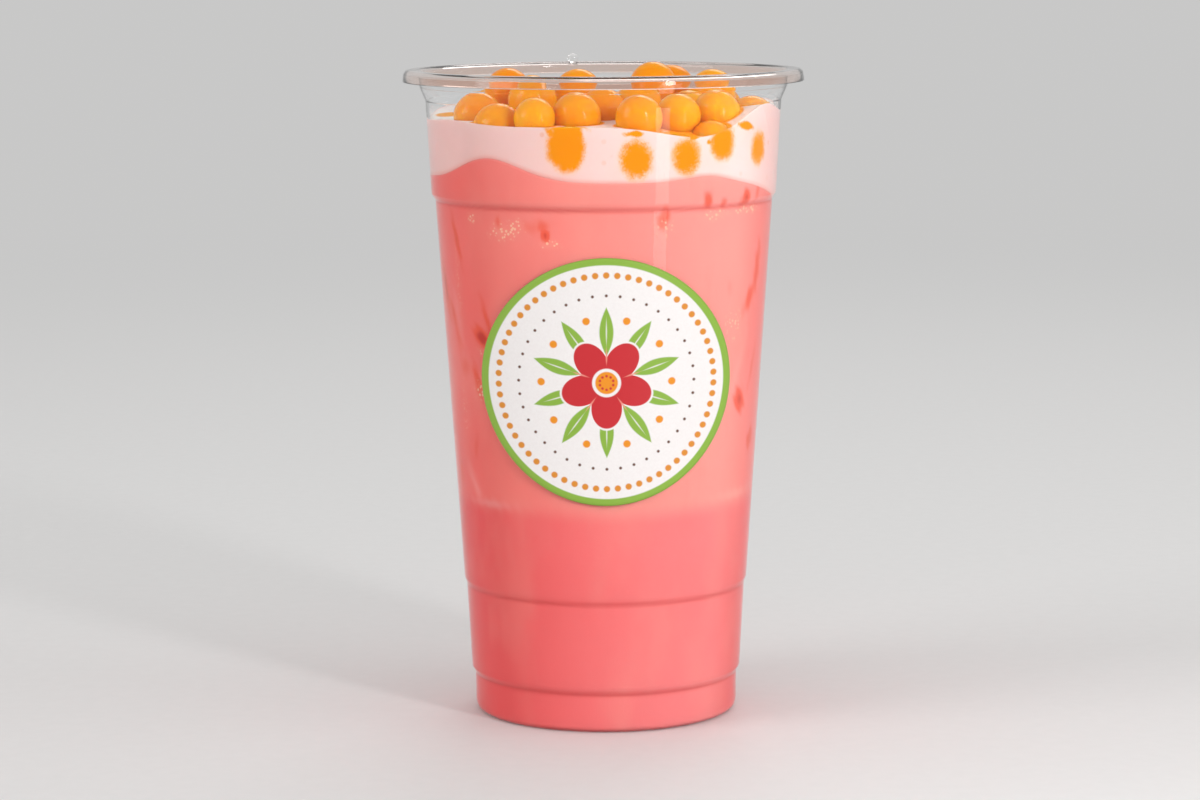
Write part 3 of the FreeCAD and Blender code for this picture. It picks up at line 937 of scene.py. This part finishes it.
def make_rim_drop(rows=18, columns=40):
    """A round drop of water on the back of the rim: a ball's grid, cut flat where it sits into the rim."""
    tilt = np.linspace(0, math.pi, rows + 2)[1:-1, None]
    turn = np.arange(columns) * (2 * math.pi / columns)
    middle = RIM_TOP + DROP_LIFT
    low = RIM_TOP - DROP_SUNK
    wide = DROP_WIDE * np.sin(tilt)
    x = DROP_X + wide * np.cos(turn)
    y = DROP_Y + wide * np.sin(turn)
    z = np.maximum(middle - np.cos(tilt) * DROP_TALL, low) + 0 * turn
    poles = np.array([[DROP_X, DROP_Y, low], [DROP_X, DROP_Y, middle + DROP_TALL]])
    points = np.concatenate([np.stack([x, y, z], -1).reshape(-1, 3), poles])
    quads, fans = skin(rows, columns)
    return make_piece("rim_drop", points, quads, fans, water_drop())


# ---------------------------------------------------------------- studio


PALE = (0.58, 0.578, 0.575)
# Lamps as (name, side, lift, distance, width, height, watts): degrees, then metres. They point at a
# height on the cup's axis.
LAMPS = [
    ("key_lamp", 75, 30, 1.6, 0.9, 0.9, 2.4),
    ("strip_lamp", 36.5, 4, 0.285, 0.045, 0.2, 0.11),
    ("left_lamp", -65, 25, 1.6, 0.7, 0.9, 6.6),
    ("back_lamp", 165, 40, 1.6, 0.8, 0.5, 3.3),
    ("front_lamp", 38, 22, 1.0, 0.10, 0.26, 2.3),
]
LAMP_AIM = 90
CAMERA_PLACE = (-1.13, -814.5, 187.0)
CAMERA_LENS = 102.98
CAMERA_TILT = 82.13
CAMERA_ROLL = -0.27


def seen_rays(f):
    """1 for rays that come from the camera, a gloss or a clear piece, and 0 for the rest."""
    kinds = ["Is Camera Ray", "Is Glossy Ray", "Is Transmission Ray"]
    camera, glossy, through = [f.node("LightPath", output=kind) for kind in kinds]
    return camera.at_least(glossy).at_least(through)


def make_floor(rows=24, columns=96, radius=3000):
    """A flat round floor under the cup. Away from the cup it becomes as pale as the air behind it."""
    reach = np.linspace(0, 1, rows + 1)[1:, None] ** 2 * radius
    turn = np.arange(columns) * (2 * math.pi / columns)
    x, y = round_the_cup(reach, turn)
    grid = np.stack([x, y, 0 * x], -1).reshape(-1, 3)
    quads, fans = skin(rows, columns)
    f = Finish("pale_studio_floor")
    where = f.place()
    x, y, _ = f.split(where)
    far = ((x * x + y * y) ** 0.5).rise(0.25, 1.3) * seen_rays(f)
    grain = f.noise(where, 0.004, 3.0)
    near = f.shader(
        Base_Color=f.mix(grain, (0.76, 0.755, 0.75), (0.80, 0.795, 0.79)),
        Roughness=0.6 + grain * 0.1,
    )
    air = f.node("Emission", inputs={"Color": PALE, "Strength": 1.0})
    finish = f.out(f.node("MixShader", inputs={0: far, 1: near, 2: air}))
    mesh = bpy.data.meshes.new("studio_floor")
    points = np.concatenate([grid, [[0, 0, 0]]]) * MM
    faces = [list(q)[::-1] for q in quads] + [list(t)[::-1] for t in fans[:columns]]
    mesh.from_pydata(points.tolist(), [], faces)
    mesh.update()
    mesh.materials.append(finish)
    in_scene("studio_floor", mesh)


def make_air():
    """Even soft light from all round, which is also the pale background."""
    world = bpy.data.worlds.new("studio_air")
    world.use_nodes = True
    bpy.context.scene.world = world
    f = Finish(tree=world.node_tree)
    f.out(f.node("Background", inputs={"Color": PALE, "Strength": 1.0}), "OutputWorld")


def make_lamp(name, side, lift, distance, wide, tall, watts):
    """A soft rectangular lamp at an angle round the cup and a lift above it, pointed at its axis."""
    data = bpy.data.lights.new(name, "AREA")
    data.shape = "RECTANGLE"
    data.size, data.size_y = wide, tall
    data.energy = watts
    lamp = in_scene(name, data)
    turn, rise = math.radians(side), math.radians(lift)
    way = Vector((math.sin(turn) * math.cos(rise), -math.cos(turn) * math.cos(rise), math.sin(rise)))
    lamp.location = Vector((0, 0, LAMP_AIM * MM)) + way * distance
    lamp.rotation_euler = way.to_track_quat("Z", "Y").to_euler()
    lamp.visible_camera = False


def make_camera():
    """A long lens a little above the cup, looking slightly down at it."""
    data = bpy.data.cameras.new("camera")
    data.sensor_width = 36.0
    data.lens = CAMERA_LENS
    data.clip_start, data.clip_end = 0.05, 50.0
    camera = in_scene("camera", data)
    camera.location = Vector(CAMERA_PLACE) * MM
    tilt = Euler((math.radians(CAMERA_TILT), 0, 0)).to_matrix()
    roll = Euler((0, 0, math.radians(CAMERA_ROLL))).to_matrix()
    camera.rotation_euler = (tilt @ roll).to_euler()
    bpy.context.scene.camera = camera


middles, radii = pearl_balls()
make_cup_wall()
make_tea_body()
make_foam_layer(middles, radii)
make_popping_pearls(middles, radii)
make_label_sticker()
make_rim_drop()
make_floor()
make_air()
for lamp in LAMPS:
    make_lamp(*lamp)
make_camera()
bpy.context.scene.view_settings.view_transform = "Standard"
